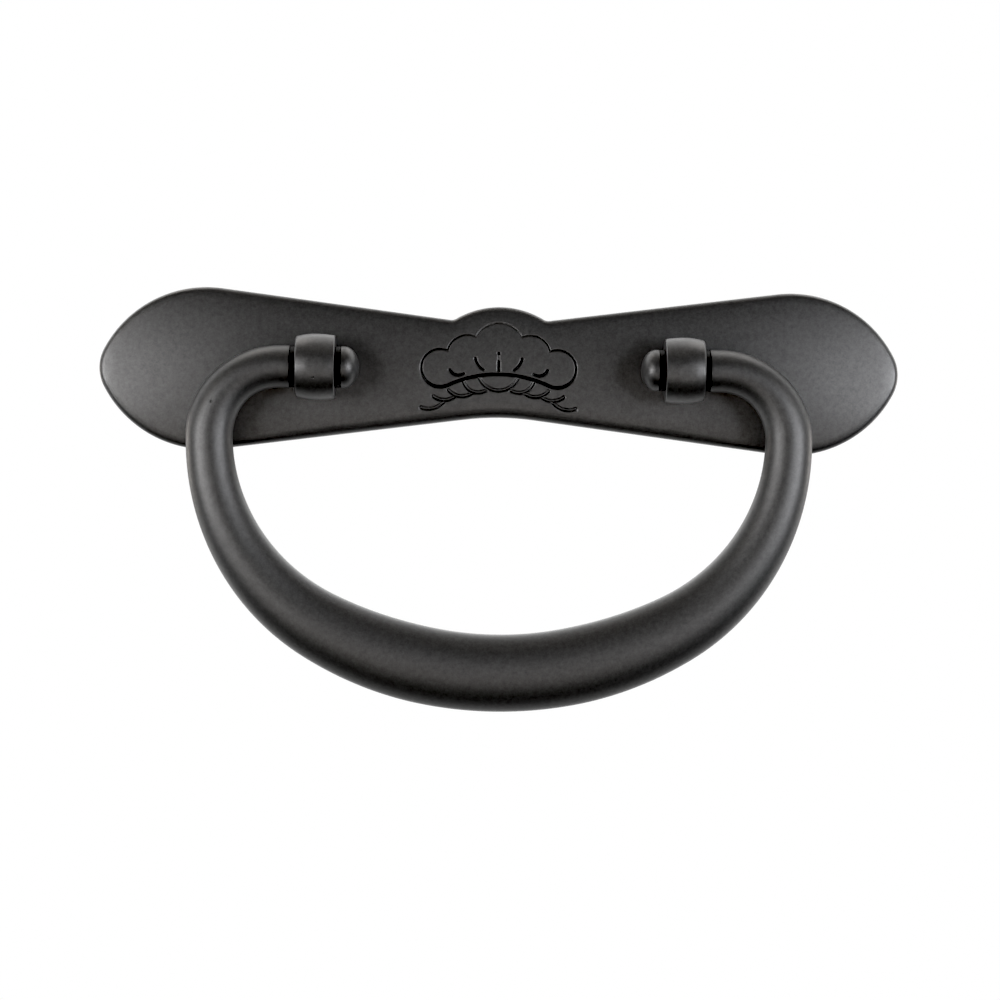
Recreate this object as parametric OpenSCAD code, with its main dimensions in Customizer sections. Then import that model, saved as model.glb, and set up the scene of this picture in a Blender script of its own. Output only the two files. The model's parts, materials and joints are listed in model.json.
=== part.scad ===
// Swinging cabinet handle: a shaped back plate with a pine motif, two eye posts
// and a bail that hangs from them on dome-headed pins.
// Origin: middle of the plate's back plane, on the line through both screw holes.
// +Z is up, the handle faces -Y and the furniture's front is the plane y = 0.

/* [Plate] */
// Length of the back plate, tip to tip
plate_length = 121.2; // [117:0.2:126]
// Width of each lobe
plate_width = 24.6; // [22.5:0.1:26.5]
// Width where the straight edges would cross at the middle
waist_width = 13.4; // [12.4:0.1:15]
// Height of the face above the back plane
plate_height = 3.2; // [3:0.1:4]
// Thickness of the metal
sheet = 1.2; // [0.8:0.1:1.3]
// Radius of the rolled edge
edge_r = 1.5; // [0.8:0.1:1.6]
// Radius of the pointed tips
tip_r = 6.2; // [5:0.1:8]
// Radius of the long curves of each lobe
lobe_r = 17.5; // [16:0.5:20]
// Radius of the rise over the motif
bump_r = 12.8; // [11:0.1:15]
// Height of that rise above the middle line
bump_top = 9.7; // [9:0.1:10.5]
// Radius of the corners beside the rise
bump_fillet = 1.5; // [0.8:0.1:3]
// Radius of the hollow under the motif
waist_fillet = 41; // [20:1:60]
// Radius of the pillowed face across the plate
crown_r = 70; // [50:5:150]
// Length of each end that bends back
bend_length = 28.5; // [20:0.5:29]
// Radius of the bend of the ends
bend_r = 250; // [240:10:600]

/* [Pine motif] */
// Height of the motif's middle above the plate's middle line
motif_rise = 0.15; // [0:0.05:0.5]
// Width of the cloud's line
cloud_line = 0.34; // [0.2:0.02:0.4]
// Depth of the cloud's line
cloud_depth = 0.3; // [0.2:0.05:0.5]
// Width of the branch line and the needles
branch_line = 0.52; // [0.4:0.02:0.6]
// Depth of the branch line and the needles
branch_depth = 0.45; // [0.2:0.05:0.6]
// Width of each of a scale's two lines
scale_line = 0.16; // [0.1:0.02:0.2]
// Distance between a scale's two lines, middle to middle
scale_pair = 0.4; // [0.3:0.02:0.5]
// Depth of the scales' lines
scale_depth = 0.25; // [0.15:0.05:0.4]

/* [Posts] */
// Distance between the two posts and screw holes
pitch = 55; // [54:0.5:57]
// Height of the swing axis above the back plane
axis_height = 9; // [8.8:0.1:10]
// Diameter of the eye at its crown
eye_d = 9.9; // [9.5:0.1:10.5]
// Width of the eye
eye_width = 5.9; // [5.5:0.1:6.1]
// Diameter of the eye's end beside the dome
eye_inner_d = 9.4; // [9:0.1:9.5]
// Diameter of the eye's end beside the bail
eye_outer_d = 9; // [8.6:0.1:9.4]
// Rounding of the eye's end beside the bail
eye_round = 0.45; // [0.2:0.05:0.6]
// Length of the foot across the plate
foot_length = 9; // [8:0.1:9.4]
// Width of the foot along the plate
foot_width = 5.4; // [5:0.1:5.5]
// Diameter of the spigot that passes through the plate
spigot_d = 5.4; // [5.2:0.1:5.6]
// Core diameter of the tapped screw hole
tap_d = 3.3; // [2.5:0.1:3.4]
// Depth of the tapped screw hole
tap_depth = 6.2; // [4:0.1:6.4]
// Depth of the countersink at the mouth of the tapped hole
tap_lead = 0.4; // [0.2:0.1:0.6]

/* [Retaining washers] */
// Outer diameter of the washer that holds a post in the plate
retainer_d = 8.4; // [7.5:0.1:9]
// Thickness of that washer
retainer_t = 0.6; // [0.4:0.1:0.8]

/* [Pivot pins] */
// Diameter of the pin
pin_d = 3; // [2.6:0.1:3.2]
// Diameter of the domed head
head_d = 6.2; // [5.6:0.1:6.6]
// Height of the domed head
head_height = 2.7; // [2:0.1:3.2]
// Straight edge of the head below its dome
head_edge = 0.5; // [0.3:0.1:0.8]
// Depth of the pin in the bail's end
pin_seat = 4.4; // [3.5:0.1:5]
// Rounding of the pin's far end
pin_nose = 0.3; // [0.2:0.1:0.5]

/* [Spacer washers] */
// Outer diameter of the black washers beside the eyes
spacer_d = 6.1; // [5.4:0.1:6.3]
// Thickness of the washer between eye and bail
outer_spacer_t = 0.72; // [0.5:0.02:0.9]
// Thickness of the washer between eye and dome
inner_spacer_t = 0.8; // [0.5:0.02:0.9]

/* [Bail] */
// Distance between the middles of the two arms
bail_width = 86.3; // [84:0.1:90]
// Distance from the swing axis down to the middle of the grip
bail_drop = 45.3; // [43:0.1:47]
// Radius of the grip's middle line
grip_r = 55; // [52:1:58]
// Radius of the shoulders
shoulder_r = 10.3; // [9.5:0.1:11]
// Diameter of the bail's ends
end_d = 6.3; // [6:0.1:6.6]
// Thickness of the arms, seen from the front
arm_width = 6.95; // [6.8:0.05:7.6]
// Thickness of the arms, front to back
arm_depth = 6.6; // [6.2:0.1:7]
// Thickness of the grip, seen from the front
grip_width = 11.5; // [9:0.1:12.5]
// Thickness of the grip, front to back
grip_depth = 8.5; // [7.5:0.1:10]
// Share of the half bail over which its round end keeps its size
end_share = 0.07; // [0.03:0.01:0.1]
// Share of the half bail at which the grip starts to swell
swell_start = 0.2; // [0.1:0.02:0.3]
// Share of the half bail at which the grip is full
swell_end = 0.87; // [0.8:0.01:1]

/* [Fits] */
// Clearance between spigot and plate, all round
spigot_gap = 0.05; // [0.02:0.01:0.1]
// Running clearance of the pin in the eye, all round
pin_gap = 0.05; // [0.02:0.01:0.1]
// Gap left by the pin in the bail's end, all round
press_gap = 0.01; // [0.005:0.005:0.02]
// End play beside each spacer washer
side_play = 0.03; // [0.02:0.01:0.05]
// Gap between two faces that rest on each other
seat_gap = 0.01; // [0.005:0.005:0.03]

/* [Hidden] */
$fn = 64;
over = 1;
half_turn = 180;
radian = PI / half_turn;

// Lobe: its two long curves cross the middle line and flow into the tip
half_length = plate_length / 2;
bend_start = half_length - bend_length;
tip_x = half_length - tip_r;
lobe_y = lobe_r - plate_width / 2;
lobe_x = tip_x - sqrt(pow(lobe_r - tip_r, 2) - lobe_y * lobe_y);
tip_angle = atan2(lobe_y, tip_x - lobe_x);

// Straight edge: from the waist, touching the lobe's curve
reach_y = waist_width / 2 + lobe_y;
taper = atan2(lobe_x, reach_y) - acos(lobe_r / norm([lobe_x, reach_y]));

// Rise over the motif, with a small corner radius on each side
bump_y = bump_top - bump_r;
corner_base = waist_width / 2 + bump_fillet / cos(taper) - bump_y;
corner_sum = bump_r + bump_fillet;
corner_root = sqrt(pow(corner_sum, 2) - pow(corner_base * cos(taper), 2));
corner_x = cos(taper) * (corner_root - corner_base * sin(taper));
corner_y = bump_y + corner_base + corner_x * tan(taper);
corner_angle = atan2(corner_y - bump_y, corner_x);
waist_y = -waist_width / 2 - waist_fillet / cos(taper);

// Steps along the plate's edge, the same number above and below
bump_steps = 6;
corner_steps = 3;
line_steps = 7;
lobe_steps = 11;
tip_steps = 4;
waist_steps = 3;
lower_line_steps = bump_steps + corner_steps + line_steps - waist_steps;
quarter = bump_steps + corner_steps + line_steps + lobe_steps + tip_steps;
ring_points = 4 * quarter;
edge_turns = [0, 22.5, 45, 67.5, 90];
face_steps = [0.25, 0.5, 0.8];
back_steps = [0.4, 0.8];
back_round = 0.3;
spine_share = tip_x / (half_length - edge_r);

// An edge entry is a point and the direction that points out of the plate there
function ray(a) = [cos(a), sin(a)];
function flip(e) = [for (v = e) [-v.x, v.y]];
function flipped(list) = [for (i = [len(list) - 1:-1:1]) flip(list[i])];
function backward(list) = [for (i = [len(list) - 1:-1:0]) list[i]];
function curve(c, r, from, to, steps, side = 1) = [
    for (i = [0:steps - 1])
        let (a = from + (to - from) * i / steps) [c + r * ray(a), side * ray(a)]
];
function edge_line(p, q, steps, out) = [
    for (i = [0:steps - 1]) [p + (q - p) * i / steps, out]
];

upper_out = ray(90 + taper);
lower_out = ray(-90 - taper);
upper_right = concat(
    curve([0, bump_y], bump_r, 90, corner_angle, bump_steps),
    curve([corner_x, corner_y], bump_fillet, half_turn + corner_angle, half_turn + 90 + taper,
        corner_steps, -1),
    edge_line(
        [corner_x, corner_y] - bump_fillet * upper_out,
        [lobe_x, -lobe_y] + lobe_r * upper_out, line_steps, upper_out),
    curve([lobe_x, -lobe_y], lobe_r, 90 + taper, tip_angle, lobe_steps),
    curve([tip_x, 0], tip_r, tip_angle, 0, tip_steps)
);
lower_right = concat(
    curve([0, waist_y], waist_fillet, 90, 90 - taper, waist_steps, -1),
    edge_line(
        [0, waist_y] - waist_fillet * lower_out,
        [lobe_x, lobe_y] + lobe_r * lower_out, lower_line_steps, lower_out),
    curve([lobe_x, lobe_y], lobe_r, -90 - taper, -tip_angle, lobe_steps),
    curve([tip_x, 0], tip_r, -tip_angle, 0, tip_steps)
);
right_tip = [[half_length, 0], [1, 0]];
plate_edge = concat(
    [flip(right_tip)], flipped(upper_right), upper_right,
    [right_tip], backward(lower_right), backward(flipped(lower_right))
);

// Height of the pillowed face at a point of the plan
function face_at(p) = plate_height - crown_r + sqrt(crown_r * crown_r - p.y * p.y)
    - pow(max(0, abs(p.x) - bend_start), 2) / (2 * bend_r);
function inset(e, d) = e[0] - d * e[1];
function toward_spine(p, f) = [p.x * (1 + (spine_share - 1) * f), p.y * (1 - f)];
function lifted(p, z) = [p.x, p.y, z];
function rolled(e, a) = lifted(
    inset(e, edge_r * (1 - cos(a))),
    face_at(inset(e, edge_r)) - edge_r * (1 - sin(a)));
function face_ring(depth, f, drop) = [
    for (e = plate_edge)
        let (p = toward_spine(inset(e, depth), f)) lifted(p, face_at(p) - drop)
];
function rim_ring(depth) = [for (e = plate_edge) lifted(inset(e, depth), 0)];

back_inset = sheet + back_round;
plate_rings = concat(
    [for (f = backward(back_steps)) face_ring(back_inset, f, sheet)],
    [face_ring(back_inset, 0, sheet)],
    [[for (e = plate_edge) lifted(inset(e, sheet), face_at(inset(e, back_inset)) - back_inset)]],
    [rim_ring(sheet), rim_ring(0)],
    [for (a = edge_turns) [for (e = plate_edge) rolled(e, a)]],
    [for (f = face_steps) face_ring(edge_r, f, 0)]
);

// Faces between neighbouring rings, and across the last ring from edge to edge
function band(k, n) = [
    for (i = [0:n - 1], half = [0, 1])
        let (a = k * n + i, b = k * n + (i + 1) % n)
            half == 0 ? [a, b, b + n] : [a, b + n, a + n]
];
function across(k, n) = [
    for (i = [0:n / 2 - 1], half = [0, 1])
        let (
            a = k * n + i,
            b = k * n + i + 1,
            c = k * n + (n - i - 1) % n,
            d = k * n + (n - i) % n
        )
            if (half == 0 ? i < n / 2 - 1 : i > 0) half == 0 ? [a, b, c] : [a, c, d]
];
function turned(faces) = [for (f = faces) backward(f)];

module plate_shell() {
    last = len(plate_rings) - 1;
    polyhedron(
        points = [for (r = plate_rings) each r],
        faces = concat(
            turned(across(0, ring_points)),
            [for (k = [0:last - 1]) each band(k, ring_points)],
            across(last, ring_points))
    );
}

// Cylinder under the pillowed face, larger by the given amount
module crown_core(extra) {
    translate([0, 0, plate_height - crown_r])
        rotate([0, 90, 0])
            cylinder(r = crown_r + extra, h = plate_length, center = true, $fn = 360);
}

// Cloud: centre and radius of each round of the outline
top_round = [0, 3.15, 3.9];
side_round = [4.75, 2.15, 3.05];
end_round = [8.85, 0.18, 2.85];
branch_top = -0.7;
end_centre = [end_round.x, end_round.y];
branch_rise = end_round.y - branch_top;
branch_r = (end_round.x * end_round.x + branch_rise * branch_rise - pow(end_round.z, 2))
    / (2 * (end_round.z - branch_rise));
branch_y = branch_top - branch_r;
branch_angle = atan2(end_round.y - branch_y, end_round.x);

// Needles and scales: centre x, centre y, radius, first and last angle
needles = [[0.95, 2.2, 2.65, -61, -13], [6.1, 0.52, 1.42, -125, -26]];
needle_root = 0.34;
centre_needle = [-0.4, 1.3];
centre_pit = 2.4;
scales = [
    [3.1, -1.2, 2.25, -123, -14],
    [5.55, -1.5, 2.55, -129, -41],
    [8.2, -2.1, 2.55, -129, -51],
    [10.6, -3.05, 2.95, -144, -69],
];
centre_scale = [0, 0.1, 3.22, 202, 338];
stroke_turn = 14;
stroke_chord = 0.9;
cap_turns = [30, 90, 150];
// Angles on the end rounds between which the cloud's line swells into the branch line
line_full = -75;
line_swell = 10;

// Angle at which round a leaves off where it meets round b
function meeting(a, b) =
    let (
        d = norm([b.x - a.x, b.y - a.y]),
        toward = atan2(b.y - a.y, b.x - a.x),
        open = acos((a.z * a.z + d * d - b.z * b.z) / (2 * a.z * d))
    ) [toward - open, toward + open];
top_end = meeting(top_round, side_round)[1];
side_start = meeting(side_round, top_round)[0];
side_end = meeting(side_round, end_round)[1];
end_start = meeting(end_round, side_round)[0];

// Stroke along an arc with rounded ends, drawn with one width or from one to another
module stroke(c, r, from, to, width, end_width = 0) {
    last_width = end_width > 0 ? end_width : width;
    turn = abs(to - from);
    steps = ceil(max(turn / stroke_turn, r * turn * radian / stroke_chord));
    bearings = [for (i = [0:steps]) from + (to - from) * i / steps];
    halves = [for (i = [0:steps]) (width + (last_width - width) * i / steps) / 2];
    polygon(concat(
        [for (i = [0:steps]) c + (r + halves[i]) * ray(bearings[i])],
        [for (t = cap_turns) c + r * ray(to) + last_width / 2 * ray(to + t)],
        [for (i = [steps:-1:0]) c + (r - halves[i]) * ray(bearings[i])],
        [for (t = cap_turns) c + r * ray(from) + width / 2 * ray(from + half_turn + t)]
    ));
}

module both_sides() {
    children();
    mirror([1, 0]) children();
}

module cloud_lines() {
    stroke([top_round.x, top_round.y], top_round.z, half_turn - top_end, top_end, cloud_line);
    both_sides() {
        stroke([side_round.x, side_round.y], side_round.z, side_end, side_start, cloud_line);
        stroke(end_centre, end_round.z, line_swell, end_start, cloud_line);
    }
}

module branch_lines() {
    stroke([0, branch_y], branch_r, branch_angle, half_turn - branch_angle, branch_line);
    for (y = concat(centre_needle, centre_pit))
        translate([0, y]) circle(d = branch_line, $fn = 16);
    translate([-branch_line / 2, centre_needle[0]])
        square([branch_line, centre_needle[1] - centre_needle[0]]);
    both_sides() {
        stroke(end_centre, end_round.z, branch_angle - half_turn, line_full, branch_line);
        stroke(end_centre, end_round.z, line_full, line_swell, branch_line, cloud_line);
        for (n = needles)
            stroke([n[0], n[1]], n[2], n[3], n[4], needle_root, branch_line);
    }
}

// Scales, and the shallow end of the centre needle up to its pit
module scale_lines() {
    translate([-scale_line, centre_needle[1]])
        square([2 * scale_line, centre_pit - centre_needle[1]]);
    for (side = [-1, 1]) {
        shift = side * scale_pair / 2;
        stroke([centre_scale[0], centre_scale[1]], centre_scale[2] + shift,
            centre_scale[3], centre_scale[4], scale_line);
        both_sides()
            for (s = scales)
                stroke([s[0], s[1]], s[2] + shift, s[3], s[4], scale_line);
    }
}

module groove(depth) {
    difference() {
        translate([0, motif_rise, 0])
            linear_extrude(height = plate_height + over) children();
        crown_core(-depth);
    }
}

// Posts, pins and washers stand on the swing axis, measured from the middle
post_x = pitch / 2;
eye_half = eye_width / 2;
bail_end_x = post_x + eye_half + outer_spacer_t + 2 * side_play;
head_x = post_x - eye_half - inner_spacer_t - 2 * side_play;
pin_r = pin_d / 2;
bore_r = pin_r + pin_gap;
spigot_r = spigot_d / 2;
crown_steps = 8;
dome_steps = 8;
round_turns = [0, 30, 60, 90];

// Radius of the eye along its width, -1 at the dome and 1 at the bail
function eye_radius(t) = eye_d / 2 - t * t * (eye_d - (t < 0 ? eye_inner_d : eye_outer_d)) / 2;
rounded_from = 1 - eye_round / eye_half;

module right_side() {
    rotate([90, 0, 0]) children();
}

module left_side() {
    mirror([1, 0, 0]) right_side() children();
}

module on_axis(x) {
    translate([x, 0, axis_height]) rotate([0, 90, 0]) children();
}

module eye() {
    on_axis(post_x)
        rotate_extrude()
            polygon(concat(
                [[0, -eye_half]],
                [for (i = [0:crown_steps])
                    let (t = -1 + (1 + rounded_from) * i / crown_steps)
                        [eye_radius(t), t * eye_half]],
                [for (a = [for (t = round_turns) if (t > 0) t])
                    [
                        eye_radius(rounded_from) - eye_round * (1 - cos(a)),
                        eye_half - eye_round * (1 - sin(a))
                    ]],
                [[0, eye_half]]
            ));
}

module foot() {
    difference() {
        translate([post_x, 0, 0])
            intersection() {
                cylinder(d = foot_length, h = axis_height);
                translate([-foot_width / 2, -foot_length, 0])
                    cube([foot_width, 2 * foot_length, axis_height]);
            }
        crown_core(seat_gap);
    }
}

module post() {
    difference() {
        union() {
            eye();
            foot();
            translate([post_x, 0, 0]) cylinder(r = spigot_r, h = axis_height - bore_r);
        }
        on_axis(post_x)
            cylinder(r = bore_r, h = eye_width + 2 * over, center = true);
        translate([post_x, 0, -over]) cylinder(d = tap_d, h = tap_depth + over);
        translate([post_x, 0, 0])
            cylinder(r1 = tap_d / 2 + tap_lead, r2 = tap_d / 2, h = tap_lead);
    }
}

module pivot_pin() {
    on_axis(head_x)
        rotate_extrude()
            polygon(concat(
                [[0, -head_height]],
                [for (i = [1:dome_steps])
                    let (a = 90 * i / dome_steps)
                        [head_d / 2 * sin(a), -head_edge - (head_height - head_edge) * cos(a)]],
                [[head_d / 2, 0], [pin_r, 0]],
                [for (a = round_turns)
                    [
                        pin_r - pin_nose * (1 - cos(a)),
                        bail_end_x - head_x + pin_seat - pin_nose * (1 - sin(a))
                    ]],
                [[0, bail_end_x - head_x + pin_seat]]
            ));
}

module spacer(x, thickness) {
    on_axis(x)
        difference() {
            cylinder(d = spacer_d, h = thickness);
            translate([0, 0, -over])
                cylinder(r = bore_r, h = thickness + 2 * over);
        }
}

module outer_spacer() {
    color("black") spacer(post_x + eye_half + side_play, outer_spacer_t);
}

module inner_spacer() {
    color("black") spacer(head_x + side_play, inner_spacer_t);
}

module retaining_washer() {
    rim_sag = crown_r - sqrt(crown_r * crown_r - retainer_d * retainer_d / 4);
    top = plate_height - sheet - rim_sag - 2 * seat_gap;
    color("dimgray")
        translate([post_x, 0, top - retainer_t])
            difference() {
                cylinder(d = retainer_d, h = retainer_t);
                translate([0, 0, -over])
                    cylinder(r = spigot_r + seat_gap, h = retainer_t + 2 * over);
            }
}

module back_plate() {
    color([0.16, 0.16, 0.15])
        rotate([90, 0, 0])
            difference() {
                plate_shell();
                for (side = [-1, 1])
                    translate([side * post_x, 0, 0])
                        cylinder(r = spigot_r + spigot_gap, h = plate_height + over);
                groove(cloud_depth) cloud_lines();
                groove(branch_depth) branch_lines();
                groove(scale_depth) scale_lines();
            }
}

// Bail: straight ends, round shoulders, long sides and a wide grip in one sweep
bail_half = bail_width / 2;
grip_y = grip_r - bail_drop;
grip_rise = grip_y + shoulder_r;
side_r = (grip_r * grip_r - bail_half * bail_half - grip_rise * grip_rise)
    / (2 * (grip_r - bail_half));
side_x = bail_half - side_r;
side_angle = atan2(grip_rise, side_x);
shoulder_x = bail_half - shoulder_r;
end_straight = shoulder_x - bail_end_x;
shoulder_len = end_straight + shoulder_r * 90 * radian;
side_len = side_r * side_angle * radian;
grip_len = grip_r * (90 - side_angle) * radian;
half_len = shoulder_len + side_len + grip_len;
shoulder_steps = 12;
side_steps = 13;
grip_steps = 13;
section_points = 28;

function smooth(t) = let (c = min(1, max(0, t))) c * c * (3 - 2 * c);
function blend(a, b, t) = a + (b - a) * t;
function swell(u) = smooth((u - swell_start) / (swell_end - swell_start));
function arm(u) = smooth((u - end_share) / (swell_start - end_share));
function across_at(u) = blend(end_d, arm_width, arm(u))
    + (grip_width - arm_width) * swell(u);
function depth_at(u) = blend(end_d, arm_depth, arm(u))
    + (grip_depth - arm_depth) * swell(u);

// A station is its place on the middle line, the direction out and its share of the half
function stations(c, r, from, to, steps, before) = [
    for (i = [0:steps - 1])
        let (a = from + (to - from) * i / steps)
            [c + r * ray(a), a, (before + r * (from - a) * radian) / half_len]
];
right_half = concat(
    [[[bail_end_x, 0], 90, 0]],
    stations([shoulder_x, -shoulder_r], shoulder_r, 90, 0, shoulder_steps, end_straight),
    stations([side_x, -shoulder_r], side_r, 0, -side_angle, side_steps, shoulder_len),
    stations([0, grip_y], grip_r, -side_angle, -90, grip_steps, shoulder_len + side_len)
);
grip_middle = [[0, -bail_drop], -90, 1];
bail_path = concat(
    right_half, [grip_middle],
    [for (s = backward(right_half)) [[-s[0].x, s[0].y], half_turn - s[1], s[2]]]
);

function section(s) = [
    for (i = [0:section_points - 1])
        let (
            a = 360 * i / section_points,
            p = s[0] + across_at(s[2]) / 2 * cos(a) * ray(s[1])
        ) [p.x, p.y, axis_height + depth_at(s[2]) / 2 * sin(a)]
];

module bail_bar() {
    n = section_points;
    last = len(bail_path) - 1;
    polyhedron(
        points = [for (s = bail_path) each section(s)],
        faces = concat(
            [[for (i = [n - 1:-1:0]) i]],
            [for (k = [0:last - 1]) each band(k, n)],
            [[for (i = [0:n - 1]) last * n + i]])
    );
}

module bail() {
    color([0.13, 0.13, 0.13])
        rotate([90, 0, 0])
            difference() {
                bail_bar();
                for (side = [-1, 1])
                    translate([side * bail_end_x, 0, axis_height])
                        rotate([0, side * 90, 0])
                            translate([0, 0, -over])
                                cylinder(r = pin_r + press_gap, h = pin_seat + 2 * seat_gap + over);
            }
}

back_plate();
bail();
left_side() color([0.2, 0.2, 0.19]) post();  // left_post
right_side() color([0.2, 0.2, 0.19]) post();  // right_post
left_side() color([0.18, 0.18, 0.18]) pivot_pin();  // left_pivot_pin
right_side() color([0.18, 0.18, 0.18]) pivot_pin();  // right_pivot_pin
left_side() outer_spacer();  // left_outer_spacer
left_side() inner_spacer();  // left_inner_spacer
right_side() inner_spacer();  // right_inner_spacer
right_side() outer_spacer();  // right_outer_spacer
left_side() retaining_washer();  // left_retaining_washer
right_side() retaining_washer();  // right_retaining_washer
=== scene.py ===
import json
import math

import bmesh
import bpy
import numpy as np
from mathutils import Matrix, Vector


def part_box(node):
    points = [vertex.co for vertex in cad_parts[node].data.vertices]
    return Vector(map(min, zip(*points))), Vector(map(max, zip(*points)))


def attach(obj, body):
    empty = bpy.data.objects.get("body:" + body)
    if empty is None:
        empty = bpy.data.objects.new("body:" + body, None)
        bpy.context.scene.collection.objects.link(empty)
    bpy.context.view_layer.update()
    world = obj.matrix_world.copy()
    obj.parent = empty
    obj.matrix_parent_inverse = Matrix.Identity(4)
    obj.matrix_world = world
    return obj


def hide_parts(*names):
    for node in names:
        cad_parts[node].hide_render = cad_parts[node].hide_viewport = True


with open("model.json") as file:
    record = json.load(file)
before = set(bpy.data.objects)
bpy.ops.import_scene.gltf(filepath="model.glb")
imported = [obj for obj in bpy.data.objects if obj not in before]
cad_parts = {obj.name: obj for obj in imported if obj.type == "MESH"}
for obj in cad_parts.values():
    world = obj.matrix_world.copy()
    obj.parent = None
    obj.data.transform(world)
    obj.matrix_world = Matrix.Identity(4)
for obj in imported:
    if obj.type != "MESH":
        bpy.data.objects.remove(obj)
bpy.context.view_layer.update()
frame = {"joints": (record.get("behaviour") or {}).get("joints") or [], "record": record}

mm = 0.001
# How near two points are when they are merged, or a point is to a plane when it counts as in it
weldGap, closeGap, tinyGap = 0.0005 * mm, 0.01 * mm, 0.0001 * mm
plateLow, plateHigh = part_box("back_plate")
swing = frame["joints"][0]
axisHeight = -swing["pos_m"][1] / mm
postMount = [m for m in frame["record"]["mounts"] if m["name"] == "screw_holes"][0]
postX = postMount["dims"]["spacing_x_mm"] / 2


# Places are given as on the bench: x along the plate, y up it, h above its back plane
def place(x, y, h):
    return Vector((x, -h, y)) * mm


def deselectAll():
    if bpy.context.mode != "OBJECT":
        bpy.ops.object.mode_set(mode="OBJECT")
    bpy.ops.object.select_all(action="DESELECT")


def selectOnly(piece):
    deselectAll()
    piece.select_set(True)
    bpy.context.view_layer.objects.active = piece


def editOnly(piece):
    selectOnly(piece)
    bpy.ops.object.mode_set(mode="EDIT")
    bpy.ops.mesh.select_mode(type="VERT")
    return bmesh.from_edit_mesh(piece.data)


def selectWhere(piece, kind, test):
    bpy.ops.mesh.select_all(action="DESELECT")
    bpy.ops.mesh.select_mode(type={"verts": "VERT", "edges": "EDGE", "faces": "FACE"}[kind])
    mesh = bmesh.from_edit_mesh(piece.data)
    for e in getattr(mesh, kind):
        if test(e):
            e.select_set(True)
    if kind == "verts":
        mesh.select_flush(True)
    bmesh.update_edit_mesh(piece.data)


def startPoint(name, spot):
    deselectAll()
    bpy.ops.mesh.primitive_plane_add(size=mm, location=spot)
    piece = bpy.context.object
    piece.name = piece.data.name = name
    bpy.ops.object.transform_apply(location=True, rotation=True, scale=True)
    bpy.ops.object.mode_set(mode="EDIT")
    bpy.ops.mesh.select_mode(type="VERT")
    bpy.ops.mesh.merge(type="CENTER")
    return piece


def drawTo(step, count=1):
    for _ in range(count):
        bpy.ops.mesh.extrude_region_move(TRANSFORM_OT_translate={"value": step / count})


def drawArc(centre, degrees, steps, axis=(0, 1, 0)):
    bpy.ops.mesh.spin(steps=steps, angle=math.radians(degrees), center=centre, axis=axis)


def applyModifier(piece, kind, **values):
    selectOnly(piece)
    bpy.ops.object.modifier_add(type=kind)
    modifier = piece.modifiers[-1]
    for name, value in values.items():
        setattr(modifier, name, value)
    bpy.ops.object.modifier_apply(modifier=modifier.name)


def joinBoolean(piece, other, operation):
    applyModifier(piece, "BOOLEAN", operation=operation, solver="EXACT", object=other)
    bpy.data.objects.remove(other)


def finishPiece(piece, material, body, node, smoothAngle=40):
    editOnly(piece)
    bpy.ops.mesh.select_all(action="SELECT")
    bpy.ops.mesh.remove_doubles(threshold=weldGap)
    bpy.ops.mesh.normals_make_consistent(inside=False)
    selectOnly(piece)
    bpy.ops.object.shade_smooth_by_angle(angle=math.radians(smoothAngle))
    piece.data.materials.clear()
    piece.data.materials.append(material)
    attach(piece, body)
    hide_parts(node)
    deselectAll()


def mirroredCopy(piece, name):
    selectOnly(piece)
    bpy.ops.object.duplicate()
    copy = bpy.context.object
    copy.name = copy.data.name = name
    copy.scale.x = -1
    bpy.ops.object.transform_apply(location=True, rotation=True, scale=True)
    return copy


# Back plate: the outline is drawn with arcs, raised, given its rolled edge, filled and crowned
plate = {
    "width": (plateHigh.z - plateLow.z) / mm,  # across a lobe
    "height": 3.2,
    "waist": 13.4,  # where the straight edges would cross at the middle
    "sheet": 1.2,
    "rollRadius": 1.5,
    "tipRadius": 6.2,
    "lobeRadius": 17.5,
    "bumpRadius": 12.8,  # the rise over the motif
    "bumpTop": 9.7,
    "bumpFillet": 1.5,
    "waistFillet": 41.0,
    "crownRadius": 70.0,
    "bendLength": 28.5,  # length of each end that bends back
    "bendRadius": 250.0,
    "holeRadius": 2.75,  # for the posts' spigots
    "holeTurns": 64,
    "steps": {"bump": 14, "fillet": 6, "waist": 4, "line": 30, "lobe": 36, "tip": 26},
    "rollSteps": 8,
    "edgeRadius": 0.65,
    "softWidth": 2.4,  # the face eases down over this width before it rolls over
    "softDrop": (0.2, 0.34, 0.7),  # at the upper edges, under the lobes and under the waist
    "waistReach": (26.0, 38.0),  # the waist's drop fades out between these places
    "sideBlend": 6.0,  # width over which the upper drop turns into the lower one
}


def crownDrop(x, y):
    bend = np.maximum(0.0, np.abs(x) - (plateHigh.x / mm - plate["bendLength"]))
    sag = plate["crownRadius"] - np.sqrt(plate["crownRadius"] ** 2 - y * y)
    return sag + bend * bend / (2 * plate["bendRadius"])


# Distance of many points of the plan from the outline, given as rows of x, y, x, y
def outlineDistance(x, y, outline):
    startX, startY, endX, endY = outline.T
    alongX, alongY = endX - startX, endY - startY
    length2 = alongX**2 + alongY**2
    found = []
    atOnce = 4000
    for part in np.array_split(np.arange(len(x)), 1 + len(x) // atOnce):
        px, py = x[part, None], y[part, None]
        share = np.clip(((px - startX) * alongX + (py - startY) * alongY) / length2, 0, 1)
        found.append(np.hypot(px - startX - share * alongX, py - startY - share * alongY).min(axis=1))
    return np.concatenate(found)


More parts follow.
